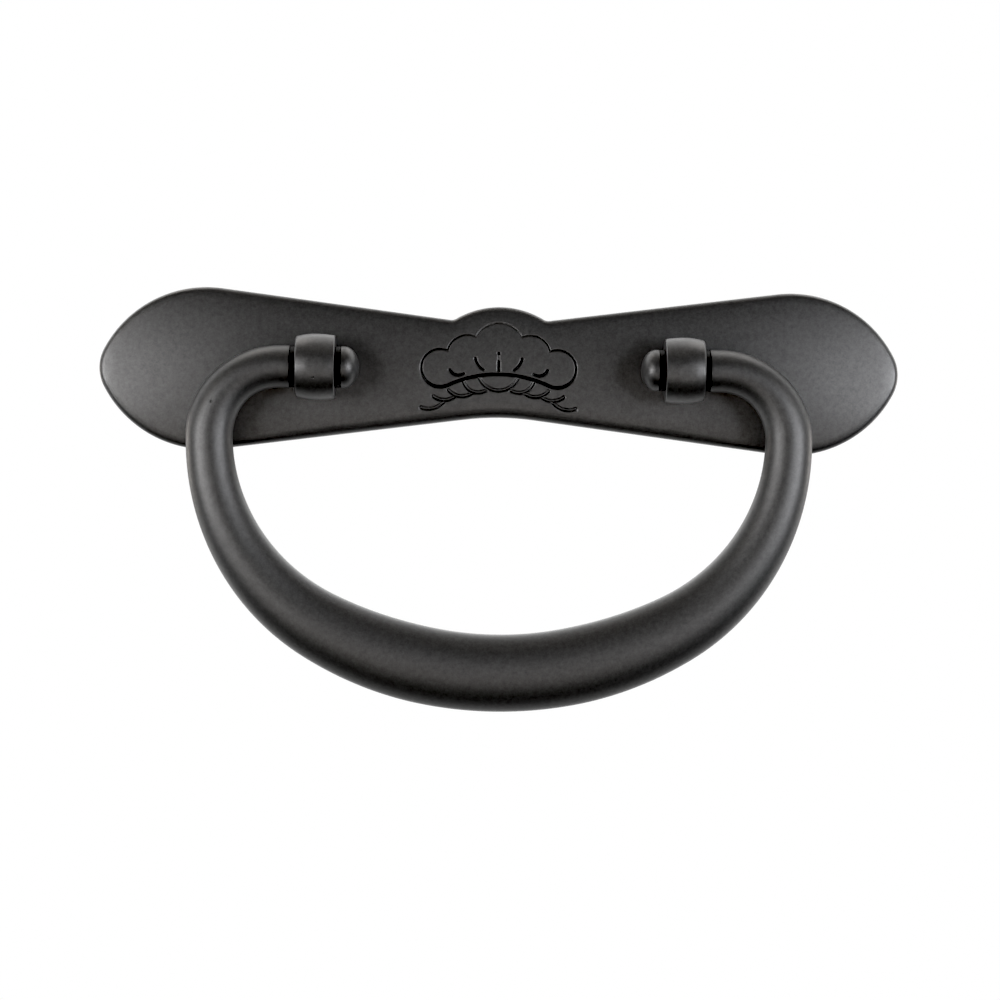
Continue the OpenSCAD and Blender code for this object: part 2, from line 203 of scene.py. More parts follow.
# Height of the plate's face over its back plane
def faceHeight(x, y, outline):
    inward = outlineDistance(x, y, outline)
    soft = np.clip(1 - inward / plate["softWidth"], 0, 1)
    upper, lobe, waist = plate["softDrop"]
    near, far = plate["waistReach"]
    toWaist = np.clip((far - np.abs(x)) / (far - near), 0, 1)
    drop = upper + np.clip(0.5 - y / plate["sideBlend"], 0, 1) * (lobe - upper + (waist - lobe) * toWaist)
    roll = plate["edgeRadius"]
    over = np.clip(roll - inward, 0, roll)
    edge = drop * soft**2 + roll - np.sqrt(roll**2 - over**2)
    return plate["height"] - crownDrop(x, y) - edge


def buildPlate():
    half = plateHigh.x / mm
    steps = plate["steps"]
    lobe, tip, bump = plate["lobeRadius"], plate["tipRadius"], plate["bumpRadius"]
    fillet, waistArc = plate["bumpFillet"], plate["waistFillet"]
    tipX = half - tip
    lobeY = lobe - plate["width"] / 2
    lobeX = tipX - math.sqrt((lobe - tip) ** 2 - lobeY**2)
    tipAngle = math.degrees(math.atan2(lobeY, tipX - lobeX))
    reachY = plate["waist"] / 2 + lobeY
    taper = math.atan2(lobeX, reachY) - math.acos(lobe / math.hypot(lobeX, reachY))
    taperAngle = math.degrees(taper)
    bumpY = plate["bumpTop"] - bump
    cornerBase = plate["waist"] / 2 + fillet / math.cos(taper) - bumpY
    cornerRoot = math.sqrt((bump + fillet) ** 2 - (cornerBase * math.cos(taper)) ** 2)
    cornerX = math.cos(taper) * (cornerRoot - cornerBase * math.sin(taper))
    cornerY = bumpY + cornerBase + cornerX * math.tan(taper)
    cornerAngle = math.degrees(math.atan2(cornerY - bumpY, cornerX))
    waistY = -plate["waist"] / 2 - waistArc / math.cos(taper)
    upperOut = Vector((-math.sin(taper), math.cos(taper)))
    lowerOut = Vector((-math.sin(taper), -math.cos(taper)))

    # Right half, from the top of the rise round the tip to the middle of the waist
    piece = startPoint("plate_shell", place(0, plate["bumpTop"], 0))
    drawArc(place(0, bumpY, 0), cornerAngle - 90, steps["bump"])
    drawArc(place(cornerX, cornerY, 0), 90 + taperAngle - cornerAngle, steps["fillet"])
    lineStart = Vector((cornerX, cornerY)) - fillet * upperOut
    lineEnd = Vector((lobeX, -lobeY)) + lobe * upperOut
    upperSteps = steps["bump"] + steps["fillet"] + steps["line"]
    drawTo(place(*(lineEnd - lineStart), 0), steps["line"])
    drawArc(place(lobeX, -lobeY, 0), tipAngle - 90 - taperAngle, steps["lobe"])
    drawArc(place(tipX, 0, 0), -2 * tipAngle, steps["tip"])
    drawArc(place(lobeX, lobeY, 0), tipAngle - 90 - taperAngle, steps["lobe"])
    lowStart = Vector((lobeX, lobeY)) + lobe * lowerOut
    lowEnd = Vector((0, waistY)) - waistArc * lowerOut
    drawTo(place(*(lowEnd - lowStart), 0), upperSteps - steps["waist"])
    drawArc(place(0, waistY, 0), taperAngle, steps["waist"])
    applyModifier(piece, "MIRROR", use_axis=(True, False, False), merge_threshold=closeGap)

    # Walls, top face and rolled edge
    editOnly(piece)
    bpy.ops.mesh.select_all(action="SELECT")
    drawTo(place(0, 0, plate["height"]))
    bpy.ops.mesh.edge_face_add()
    bpy.ops.mesh.select_all(action="SELECT")
    bpy.ops.mesh.normals_make_consistent(inside=False)
    topY = closeGap - plate["height"] * mm
    selectWhere(piece, "edges", lambda e: all(v.co.y < topY for v in e.verts))
    bpy.ops.mesh.bevel(
        offset=plate["rollRadius"] * mm, segments=plate["rollSteps"], profile=0.5, clamp_overlap=False)
    mostCorners = 8  # of any face but the flat top
    selectWhere(piece, "faces", lambda f: len(f.verts) > mostCorners)
    bpy.ops.mesh.delete(type="ONLY_FACE")
    armX = (tipX + (tip - plate["rollRadius"]) * math.cos(math.radians(tipAngle))) * mm + closeGap
    selectWhere(piece, "edges", lambda e: e.is_boundary and all(
        v.co.y < topY and abs(v.co.x) < armX for v in e.verts))
    bpy.ops.mesh.fill_grid(use_interp_simple=True)

    # Crown across the plate and the ends' bend back
    mesh = bmesh.from_edit_mesh(piece.data)
    for v in mesh.verts:
        if v.co.y < -closeGap:
            v.co.y += crownDrop(v.co.x / mm, v.co.z / mm) * mm
    bpy.ops.mesh.select_all(action="SELECT")
    bpy.ops.mesh.normals_make_consistent(inside=False)
    outline = np.array([
        [c / mm for v in e.verts for c in (v.co.x, v.co.z)]
        for e in mesh.edges if all(abs(v.co.y) < closeGap for v in e.verts)])
    outerCount = len(mesh.verts)
    applyModifier(piece, "SOLIDIFY", thickness=plate["sheet"] * mm, offset=-1, use_even_offset=True)

    # The outer face eases into its edge
    outer = [v for v in piece.data.vertices[:outerCount] if v.co.y < -closeGap]
    x = np.array([v.co.x for v in outer]) / mm
    y = np.array([v.co.z for v in outer]) / mm
    for v, height in zip(outer, faceHeight(x, y, outline)):
        v.co.y = -height * mm

    # Holes for the spigots of the two posts
    for side in (-1, 1):
        deselectAll()
        bpy.ops.mesh.primitive_cylinder_add(
            vertices=plate["holeTurns"], radius=plate["holeRadius"] * mm,
            depth=4 * plate["height"] * mm,
            location=place(side * postX, 0, 0), rotation=(math.pi / 2, 0, 0))
        joinBoolean(piece, bpy.context.object, "DIFFERENCE")
    return piece, outline


# Pine motif: centres, radii and angles of its strokes, in the plate's own x and y
motif = {
    "rise": 0.15,
    "cloudLine": 0.34,
    "cloudTop": 0.18,  # the line thins toward the top of the cloud
    "cloudSide": 0.26,
    "cloudDepth": 0.3,
    "topShare": 0.35,  # shares of the cloud's depth on its top round and on its side rounds
    "sideShare": 0.8,
    "branchLine": 0.52,
    "branchDepth": 0.45,
    "scaleLines": (0.12, 0.24),  # the inner line of each pair is the finer one
    "scalePair": 0.4,
    "scaleDepth": 0.25,
    "innerShare": 0.6,  # share of the scales' depth on the inner line
    "linkWidth": 0.32,  # between the centre needle and its pit
    "topRound": (0, 3.15, 3.9),
    "sideRound": (4.75, 2.15, 3.05),
    "endRound": (8.85, 0.18, 2.85),
    "branchTop": -0.7,
    "needles": [(0.95, 2.2, 2.65, -59.5, -13), (6.1, 0.52, 1.42, -125, -26)],
    "needleRoot": 0.4,
    "centreNeedle": (-0.12, 1.2),
    "centrePit": 2.45,
    "scales": [
        (3.1, -1.2, 2.25, -123, -14),
        (5.55, -1.5, 2.55, -129, -41),
        (8.2, -2.1, 2.55, -129, -51),
        (10.6, -3.05, 2.95, -144, -69),
    ],
    "centreScale": (0, 0.1, 3.22, 202, 338),
    "lineFull": -75,  # between these angles the cloud's line swells into the branch
    "lineSwell": 10,
    "softEdge": 0.16,  # the lines' edges are softened over this width and depth
    "softDepth": 0.035,
    "shift": -0.13,
    "nearStroke": 0.4,  # the mesh is finer this near to a line
    "cuts": 9,
}


def meetingAngle(a, b, way):
    distance = math.hypot(b[0] - a[0], b[1] - a[1])
    toward = math.atan2(b[1] - a[1], b[0] - a[0])
    opening = math.acos((a[2] ** 2 + distance**2 - b[2] ** 2) / (2 * a[2] * distance))
    return math.degrees(toward + way * opening)


# A stroke is an arc: centre, radius, first and last angle, first and last width, depth
def motifStrokes():
    m = motif
    top, side, end = m["topRound"], m["sideRound"], m["endRound"]
    rise = end[1] - m["branchTop"]
    branchRadius = (end[0] ** 2 + rise**2 - end[2] ** 2) / (2 * (end[2] - rise))
    branchY = m["branchTop"] - branchRadius
    branchAngle = math.degrees(math.atan2(end[1] - branchY, end[0]))
    topEnd = meetingAngle(top, side, 1)
    sideFirst, sideLast = meetingAngle(side, end, 1), meetingAngle(side, top, -1)
    thin, deep = m["cloudLine"], m["cloudDepth"]
    wide, deepest = m["branchLine"], m["branchDepth"]
    slim, middling = m["cloudTop"], m["cloudSide"]
    strokes = [
        (*top, topEnd, 180 - topEnd, slim, slim, deep * m["topShare"]),
        (0, branchY, branchRadius, branchAngle, 180 - branchAngle, wide, wide, deepest),
    ]
    oneSide = [
        (*side, sideFirst, sideLast, middling, slim, deep * m["sideShare"]),
        (*end, m["lineSwell"], meetingAngle(end, side, -1), thin, middling, deep),
        (*end, branchAngle - 180, m["lineFull"], wide, wide, deepest),
        (*end, m["lineFull"], m["lineSwell"], wide, thin, deepest),
    ]
    oneSide += [(*n, m["needleRoot"], wide, deepest) for n in m["needles"]]
    pair, sunk = m["scalePair"] / 2, m["scaleDepth"]
    for way, line, low in zip((-1, 1), m["scaleLines"], (m["innerShare"] * sunk, sunk)):
        oneSide += [(x, y, r + way * pair, a, b, line, line, low) for x, y, r, a, b in m["scales"]]
        x, y, r, a, b = m["centreScale"]
        strokes.append((x, y, r + way * pair, a, b, line, line, low))
    for x, y, r, _, b in m["scales"][1:]:
        endX, endY = x + r * math.cos(math.radians(b)), y + r * math.sin(math.radians(b))
        oneSide.append((endX, endY, pair, b, b + 180, *reversed(m["scaleLines"]), sunk))
    mirrored = [(-x, y, r, 180 - a, 180 - b, w, v, d) for x, y, r, a, b, w, v, d in oneSide]
    return strokes + oneSide + mirrored


# Depth of the engraving at many points of the plan, and how far each is from a line
def engravedDepth(x, y):
    depth = np.zeros_like(x)
    apart = np.full_like(x, np.inf)

    def cut(distance, width, deep):
        share = np.clip(1.0 - distance / (width / 2), 0.0, 1.0)
        outside = distance - width / 2
        soft = motif["softDepth"] * np.clip(1.0 - outside / motif["softEdge"], 0.0, 1.0) ** 2
        soft = np.where(outside < 0, motif["softDepth"], soft)
        np.maximum(depth, soft + deep * share, out=depth)
        np.minimum(apart, outside, out=apart)

    for cx, cy, radius, first, last, width, endWidth, deep in motifStrokes():
        if last < first:
            first, last, width, endWidth = last, first, endWidth, width
        bearing = np.degrees(np.arctan2(y - cy, x - cx))
        middle = (first + last) / 2
        bearing = (bearing - middle + 180) % 360 - 180 + middle
        held = np.clip(bearing, first, last)
        nearX = cx + radius * np.cos(np.radians(held))
        nearY = cy + radius * np.sin(np.radians(held))
        here = width + (endWidth - width) * (held - first) / (last - first)
        cut(np.hypot(x - nearX, y - nearY), here, deep * here / max(width, endWidth))
    low, high = motif["centreNeedle"]
    pit = motif["centrePit"]
    cut(np.hypot(x, y - np.clip(y, low, high)), motif["branchLine"], motif["branchDepth"])
    cut(np.hypot(x, y - pit), motif["branchLine"], motif["branchDepth"])
    cut(np.hypot(x, y - np.clip(y, high, pit)), motif["linkWidth"], 0.0)
    return depth, apart


def engraveMotif(piece, outline):
    editOnly(piece)
    front = -(plate["height"] - plate["sheet"]) * mm
    facing = -0.7
    reach = motif["endRound"][0] + 2 * motif["endRound"][2]

    def nearLine(f):
        if f.normal.y > facing or abs(f.verts[0].co.x) > reach * mm:
            return False
        if any(v.co.y > front for v in f.verts):
            return False
        spots = [v.co for v in f.verts] + [f.calc_center_median()]
        x = np.array([p.x for p in spots]) / mm - motif["shift"]
        y = np.array([p.z for p in spots]) / mm - motif["rise"]
        return engravedDepth(x, y)[1].min() < motif["nearStroke"]

    selectWhere(piece, "faces", nearLine)
    bpy.ops.mesh.subdivide(number_cuts=motif["cuts"])
    mesh = bmesh.from_edit_mesh(piece.data)
    found = [v for v in mesh.verts if v.select]
    x = np.array([v.co.x for v in found]) / mm
    y = np.array([v.co.z for v in found]) / mm
    cut = engravedDepth(x - motif["shift"], y - motif["rise"])[0]
    for v, height in zip(found, faceHeight(x, y, outline) - cut):
        v.co.y = -height * mm
    bmesh.update_edit_mesh(piece.data)
    deselectAll()


# Bail: one round end swept by three arcs to the middle, swollen, mirrored
bail = {
    "width": 86.3,  # between the middles of the arms
    "drop": 45.3,
    "gripRadius": 55.0,
    "shoulderRadius": 10.3,
    "endDiameter": 6.3,
    "armWidth": 6.95,
    "armDepth": 6.6,
    "gripWidth": 11.5,
    "gripDepth": 8.5,
    "endShare": 0.07,
    "swellStart": 0.2,
    "swellEnd": 0.87,
    "boreRadius": 1.51,
    "boreDepth": 4.42,
    "endBevel": 0.14,
    "endBevelSteps": 3,
    "around": 64,
    "steps": {"straight": 4, "shoulder": 30, "side": 36, "grip": 40},
}


def smoothStep(t):
    t = min(1.0, max(0.0, t))
    return t * t * (3 - 2 * t)


def bailSize(share):
    b = bail
    swell = smoothStep((share - b["swellStart"]) / (b["swellEnd"] - b["swellStart"]))
    arm = smoothStep((share - b["endShare"]) / (b["swellStart"] - b["endShare"]))
    across = b["endDiameter"] + (b["armWidth"] - b["endDiameter"]) * arm
    depth = b["endDiameter"] + (b["armDepth"] - b["endDiameter"]) * arm
    across += (b["gripWidth"] - b["armWidth"]) * swell
    depth += (b["gripDepth"] - b["armDepth"]) * swell
    return across, depth


def buildBail():
    b = bail
    half, shoulder, grip = b["width"] / 2, b["shoulderRadius"], b["gripRadius"]
    gripY = grip - b["drop"]
    rise = gripY + shoulder
    sideRadius = (grip**2 - half**2 - rise**2) / (2 * (grip - half))
    sideX = half - sideRadius
    sideAngle = math.degrees(math.atan2(rise, sideX))
    shoulderX = half - shoulder
    endSpot = place(bailEndX, 0, axisHeight)
    arcs = [
        (shoulderX, -shoulder, shoulder, 90, b["steps"]["shoulder"]),
        (sideX, -shoulder, sideRadius, sideAngle, b["steps"]["side"]),
        (0, gripY, grip, 90 - sideAngle, b["steps"]["grip"]),
    ]
    lengths = [shoulderX - bailEndX] + [r * math.radians(a) for _, _, r, a, _ in arcs]
    total = sum(lengths)

    deselectAll()
    bpy.ops.mesh.primitive_circle_add(
        vertices=b["around"], radius=b["endDiameter"] / 2 * mm,
        location=endSpot, rotation=(0, math.pi / 2, 0))
    piece = bpy.context.object
    piece.name = piece.data.name = "bail_bar"
    bpy.ops.object.transform_apply(location=True, rotation=True, scale=True)
    bpy.ops.object.mode_set(mode="EDIT")
    straightSteps = b["steps"]["straight"]
    drawTo(place(shoulderX - bailEndX, 0, 0), straightSteps)
    for x, y, _, angle, steps in arcs:
        drawArc(place(x, y, axisHeight), -angle, steps)
    deselectAll()

    # Each ring of the sweep takes the bar's width and depth there
    counts = [straightSteps] + [a[4] for a in arcs]
    shares = [0.0]
    for length, steps in zip(lengths, counts):
        start = shares[-1]
        shares += [start + length / total * (i + 1) / steps for i in range(steps)]
    spots = piece.data.vertices
    around = b["around"]
    for k, share in enumerate(shares):
        ring = spots[k * around:(k + 1) * around]
        middle = sum((v.co for v in ring), Vector()) / around
        across, depth = bailSize(share)
        for v in ring:
            offset = v.co - middle
            deep = offset.y * depth / b["endDiameter"]
            offset.y = 0
            v.co = middle + offset * (across / b["endDiameter"]) + Vector((0, deep, 0))

    # Blind bore for the pivot pin
    editOnly(piece)
    endPlane = bailEndX * mm
    belowEnd = -b["shoulderRadius"] * mm
    selectWhere(piece, "verts", lambda v: abs(v.co.x - endPlane) < tinyGap and v.co.z > belowEnd)
    bpy.ops.mesh.extrude_region_move()
    size = b["boreRadius"] / (b["endDiameter"] / 2)
    bpy.ops.transform.resize(value=(1, size, size), center_override=endSpot)
    drawTo(place(b["boreDepth"], 0, 0))
    bpy.ops.mesh.edge_face_add()
    pastBore = (b["boreRadius"] + b["endDiameter"] / 2) / 2 * mm
    selectWhere(piece, "edges", lambda e: len(e.link_faces) == 2 and all(
        abs(v.co.x - endPlane) < tinyGap and (v.co - endSpot).length > pastBore for v in e.verts))
    bpy.ops.mesh.bevel(offset=b["endBevel"] * mm, segments=b["endBevelSteps"], profile=0.5)
    applyModifier(piece, "MIRROR", use_axis=(True, False, False), merge_threshold=closeGap)
    return piece


# Posts, pins and washers are turned round the swing axis
post = {
    "eyeDiameter": 9.885,
    "eyeWidth": 5.9,
    "innerDiameter": 9.4,  # the eye's end beside the dome
    "outerDiameter": 9.0,  # the eye's end beside the bail
    "outerRound": 0.45,
    "innerBevel": 0.1,
    "boreRadius": 1.55,
    "footLength": 9.0,
    "footWidth": 5.4,
    "footBevel": 0.5,
    "footBevelSteps": 4,
    "footSunk": 1.0,  # how far the disc starts below the plate's top, before the crown cuts it
    "crownTurns": 720,
    "cutLength": 20.0,
    "seatGap": 0.01,
    "spigotRadius": 2.7,
    "tapRadius": 1.65,
    "tapDepth": 6.2,
    "tapLead": 0.4,
    "tapBehind": 1.0,  # how far the cutter starts behind the back plane
    "pitch": 0.7,
    "threadRadius": 1.96,
    "threadTurns": 7,
    "threadStart": 0.1,  # both as shares of the pitch: where a groove starts, and its corners
    "threadCorners": (0, 0.4, 0.5, 0.85),
    "turns": 96,
    "holeTurns": 64,
    "crownSteps": 20,
    "roundSteps": 5,
}
pin = {
    "diameter": 3.0,
    "headDiameter": 6.2,
    "headHeight": 2.7,
    "headEdge": 0.5,
    "seat": 4.4,
    "nose": 0.3,
    "backBevel": 0.08,
    "domeSteps": 18,
    "noseSteps": 4,
}
washers = {
    "diameter": 6.1,
    "outerThickness": 0.72,
    "innerThickness": 0.8,
    "bevel": 0.07,
    "retainerDiameter": 8.4,
    "retainerBore": 2.71,
    "retainerBevel": 0.08,
}
smallTurns = 72
sidePlay = 0.03
bailEndX = postX + post["eyeWidth"] / 2 + washers["outerThickness"] + 2 * sidePlay
headX = postX - post["eyeWidth"] / 2 - washers["innerThickness"] - 2 * sidePlay
towardRight = Vector((1, 0, 0))
towardFront = Vector((0, -1, 0))


# Turns a profile of (place along the axis, radius) points into a closed piece
def turnPiece(name, profile, spot, along, outward, closed, turns):
    points = [spot + (along * a + outward * r) * mm for a, r in profile]
    piece = startPoint(name, points[0])
    for here, there in zip(points, points[1:]):
        drawTo(there - here)
    if closed:
        drawTo(points[0] - points[-1])
    bpy.ops.mesh.select_all(action="SELECT")
    bpy.ops.mesh.remove_doubles(threshold=weldGap)
    bpy.ops.mesh.select_all(action="SELECT")
    drawArc(spot, 360, turns, axis=along)
    bpy.ops.mesh.select_all(action="SELECT")
    bpy.ops.mesh.remove_doubles(threshold=weldGap)
    bpy.ops.mesh.normals_make_consistent(inside=False)
    deselectAll()
    return piece


def ringProfile(low, high, inner, outer, bevel):
    return [
        (low, inner), (low, outer - bevel), (low + bevel, outer),
        (high - bevel, outer), (high, outer - bevel), (high, inner),
    ]


def buildPost():
    p = post
    half = p["eyeWidth"] / 2
    crownSteps, roundSteps = p["crownSteps"], p["roundSteps"]
    roundFrom = 1 - p["outerRound"] / half

    def radius(t):
        end = p["innerDiameter"] if t < 0 else p["outerDiameter"]
        return (p["eyeDiameter"] - t * t * (p["eyeDiameter"] - end)) / 2

    innerFrom = -1 + p["innerBevel"] / half
    profile = [(-half, p["boreRadius"]), (-half, radius(-1) - p["innerBevel"])]
    for i in range(crownSteps + 1):
        t = innerFrom + (roundFrom - innerFrom) * i / crownSteps
        profile.append((t * half, radius(t)))
    for i in range(1, roundSteps + 1):
        a = math.pi / 2 * i / roundSteps
        profile.append((
            half - p["outerRound"] * (1 - math.sin(a)),
            radius(roundFrom) - p["outerRound"] * (1 - math.cos(a))))
    profile.append((half, p["boreRadius"]))
    spot = place(postX, 0, axisHeight)
    eye = turnPiece("right_eye_post", profile, spot, towardRight, towardFront, True, p["turns"])

    # Foot: a disc cut to the eye's width, its corners softened
    deselectAll()
    low = plate["height"] - p["footSunk"]
    bpy.ops.mesh.primitive_cylinder_add(
        vertices=p["turns"], radius=p["footLength"] / 2 * mm, depth=(axisHeight - low) * mm,
        location=place(postX, 0, (axisHeight + low) / 2), rotation=(math.pi / 2, 0, 0))
    foot = bpy.context.object
    bpy.ops.object.transform_apply(location=True, rotation=True, scale=True)
    bpy.ops.object.mode_set(mode="EDIT")
    for side in (-1, 1):
        bpy.ops.mesh.select_all(action="SELECT")
        bpy.ops.mesh.bisect(
            plane_co=place(postX + side * p["footWidth"] / 2, 0, 0), plane_no=(side, 0, 0),
            use_fill=True, clear_outer=True)
    edgeX = p["footWidth"] / 2 * mm
    selectWhere(foot, "edges", lambda e: all(
        abs(abs(v.co.x - postX * mm) - edgeX) < closeGap for v in e.verts)
        and abs(e.verts[0].co.y - e.verts[1].co.y) > mm)
    bpy.ops.mesh.bevel(offset=p["footBevel"] * mm, segments=p["footBevelSteps"], profile=0.5)
    deselectAll()
    bpy.ops.mesh.primitive_cylinder_add(
        vertices=p["crownTurns"], radius=(plate["crownRadius"] + p["seatGap"]) * mm,
        depth=p["cutLength"] * mm, rotation=(0, math.pi / 2, 0),
        location=place(postX, 0, plate["height"] - plate["crownRadius"]))
    joinBoolean(foot, bpy.context.object, "DIFFERENCE")

    # Spigot, then the bore and the tapped hole
    deselectAll()
    top = axisHeight - p["boreRadius"]
    bpy.ops.mesh.primitive_cylinder_add(
        vertices=p["holeTurns"], radius=p["spigotRadius"] * mm, depth=top * mm,
        location=place(postX, 0, top / 2), rotation=(math.pi / 2, 0, 0))
    spigot = bpy.context.object
    joinBoolean(foot, spigot, "UNION")
    joinBoolean(eye, foot, "UNION")
    deselectAll()
    bpy.ops.mesh.primitive_cylinder_add(
        vertices=p["holeTurns"], radius=p["boreRadius"] * mm, depth=3 * p["eyeWidth"] * mm,
        location=spot, rotation=(0, math.pi / 2, 0))
    joinBoolean(eye, bpy.context.object, "DIFFERENCE")
    crest, root = p["tapRadius"], p["threadRadius"]
    behind, mouth = -p["tapBehind"], crest + p["tapLead"]
    tapProfile = [(behind, 0.0), (behind, mouth), (0.0, mouth), (p["tapLead"], crest)]
    for i in range(p["threadTurns"]):
        start = p["tapLead"] + p["pitch"] * (i + p["threadStart"])
        for share, reach in zip(p["threadCorners"], (crest, root, root, crest)):
            tapProfile.append((start + share * p["pitch"], reach))
    tapProfile += [(p["tapDepth"], crest), (p["tapDepth"], 0.0)]
    tap = turnPiece(
        "tap", tapProfile, place(postX, 0, 0), towardFront, towardRight, False, p["holeTurns"])
    joinBoolean(eye, tap, "DIFFERENCE")
    return eye


def buildPin():
    p = pin
    domeSteps, noseSteps = p["domeSteps"], p["noseSteps"]
    head, shank = p["headDiameter"] / 2, p["diameter"] / 2
    end = bailEndX - headX + p["seat"]
    profile = [(-p["headHeight"], 0.0)]
    for i in range(1, domeSteps + 1):
        a = math.pi / 2 * i / domeSteps
        profile.append((
            -p["headEdge"] - (p["headHeight"] - p["headEdge"]) * math.cos(a), head * math.sin(a)))
    profile += [(-p["backBevel"], head), (0.0, head - p["backBevel"]), (0.0, shank)]
    for i in range(noseSteps + 1):
        a = math.pi / 2 * i / noseSteps
        profile.append((end - p["nose"] * (1 - math.sin(a)), shank - p["nose"] * (1 - math.cos(a))))
    profile.append((end, 0.0))
    return turnPiece(
        "right_dome_pin", profile, place(headX, 0, axisHeight), towardRight, towardFront, False, smallTurns)


def buildSpacer(name, low, thickness):
    profile = ringProfile(
        low, low + thickness, post["boreRadius"], washers["diameter"] / 2, washers["bevel"])
    return turnPiece(
        name, profile, place(0, 0, axisHeight), towardRight, towardFront, True, smallTurns)


def buildRetainer():
    w = washers
    low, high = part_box("right_retaining_washer")
    profile = ringProfile(
        -high.y / mm, -low.y / mm, w["retainerBore"], w["retainerDiameter"] / 2, w["retainerBevel"])
    return turnPiece(
        "right_retainer", profile, place(postX, 0, 0), towardFront, towardRight, True, smallTurns)


def finishPair(right, leftName, material, body, node, smoothAngle=40):
    left = mirroredCopy(right, leftName)
    finishPiece(right, material, body, f"right_{node}", smoothAngle)
    finishPiece(left, material, body, f"left_{node}", smoothAngle)


# Materials
def newMaterial(name, colour, roughness, metallic=0.0):
    material = bpy.data.materials.new(name)
    material.use_nodes = True
    shader = material.node_tree.nodes["Principled BSDF"]
    shader.inputs["Base Color"].default_value = (*colour, 1)
    shader.inputs["Roughness"].default_value = roughness
    shader.inputs["Metallic"].default_value = metallic
    return material, shader


def addNode(material, kind, **values):
    node = material.node_tree.nodes.new(kind)
    for name, value in values.items():
        if name in node.inputs:
            node.inputs[name].default_value = value
        else:
            setattr(node, name, value)
    return node


def spread(material, fromLow, fromHigh, toLow, toHigh):
    return addNode(material, "ShaderNodeMapRange", **{
        "From Min": fromLow, "From Max": fromHigh, "To Min": toLow, "To Max": toHigh})


paint = {
    "colour": (0.003, 0.003, 0.0028),
    "light": (0.006, 0.006, 0.0057),
    "roughness": (0.44, 0.50),
    "plainRoughness": 0.4,  # the grain's roughness takes its place
    "grainScale": 4600,
    "patchScale": 1500,
    "grainHeight": 0.018,
    "grainStrength": 0.35,
    "grainRange": (0.3, 0.7),  # stretch of the noise that spreads over the roughness
    "sheen": (0.41, 0.59),
    "sheenRange": (0.35, 0.65),
    "seedStep": (0.37, 0.11, 0.23),  # how far a seed shifts the noise
    "markFlat": 0.3,  # share of a mark's radius that is at full depth
    # small marks as in the photo: place, radius and depth in mm
    "marks": {
        "post_paint": [
            ((-27.59, -13.61, -1.81), 0.2, 0.3), ((-27.4, -13.93, 0.1), 1.5, 0.05),
            ((27.6, -13.88, -0.6), 1.6, 0.045)],
        "bail_paint": [((-42.69, -12.3, -5.37), 0.27, 0.12)],
    },
}


def satinPaint(name, seed, smoother=0.0, shinier=1.0):
    material, shader = newMaterial(name, paint["colour"], paint["plainRoughness"])
    link = material.node_tree.links.new
    spot = addNode(material, "ShaderNodeTexCoord")
    move = addNode(material, "ShaderNodeMapping", Location=[seed * s for s in paint["seedStep"]])
    grain = addNode(material, "ShaderNodeTexNoise", Scale=paint["grainScale"], Detail=3, Roughness=0.6)
    patch = addNode(material, "ShaderNodeTexNoise", Scale=paint["patchScale"], Detail=4, Roughness=0.55)
    tone = addNode(material, "ShaderNodeMix", data_type="RGBA")
    tone.inputs["A"].default_value = (*paint["colour"], 1)
    tone.inputs["B"].default_value = (*paint["light"], 1)
    both = addNode(material, "ShaderNodeMix", data_type="FLOAT")
    rough = spread(material, *paint["grainRange"], *[r - smoother for r in paint["roughness"]])
    sheen = spread(material, *paint["sheenRange"], *[v * shinier for v in paint["sheen"]])
    bump = addNode(
        material, "ShaderNodeBump", Strength=paint["grainStrength"], Distance=paint["grainHeight"] * mm)
    link(spot.outputs["Object"], move.inputs["Vector"])
    link(move.outputs["Vector"], grain.inputs["Vector"])
    link(move.outputs["Vector"], patch.inputs["Vector"])
    link(patch.outputs["Fac"], tone.inputs["Factor"])
    link(tone.outputs["Result"], shader.inputs["Base Color"])
    link(grain.outputs["Fac"], rough.inputs["Value"])
    link(rough.outputs["Result"], shader.inputs["Roughness"])
    link(grain.outputs["Fac"], both.inputs["A"])
    link(patch.outputs["Fac"], both.inputs["B"])
    link(both.outputs["Result"], sheen.inputs["Value"])
    link(sheen.outputs["Result"], shader.inputs["Specular IOR Level"])
    link(grain.outputs["Fac"], bump.inputs["Height"])
    normal = bump.outputs["Normal"]
    for centre, radius, depth in paint["marks"].get(name, []):
        away = addNode(material, "ShaderNodeVectorMath", operation="DISTANCE")
        away.inputs[1].default_value = [c * mm for c in centre]
        level = spread(material, paint["markFlat"] * radius * mm, radius * mm, 0, 1)
        level.interpolation_type = "SMOOTHSTEP"
        dent = addNode(material, "ShaderNodeBump", Strength=1.0, Distance=depth * mm)
        link(spot.outputs["Object"], away.inputs[0])
        link(away.outputs["Value"], level.inputs["Value"])
        link(level.outputs["Result"], dent.inputs["Height"])
        link(normal, dent.inputs["Normal"])
        normal = dent.outputs["Normal"]
    link(normal, shader.inputs["Normal"])
    return material


nylonLook = {
    "colour": (0.002, 0.002, 0.002),
    "roughness": (0.45, 0.6),
    "plainRoughness": 0.6,
    "grainScale": 3000,
    "sheen": 0.12,
}
steelLook = {
    "colour": (0.24, 0.24, 0.245),
    "roughness": (0.25, 0.5),
    "plainRoughness": 0.35,
    "grainScale": 2500,
    "grainHeight": 0.004,
    "grainStrength": 0.3,
}


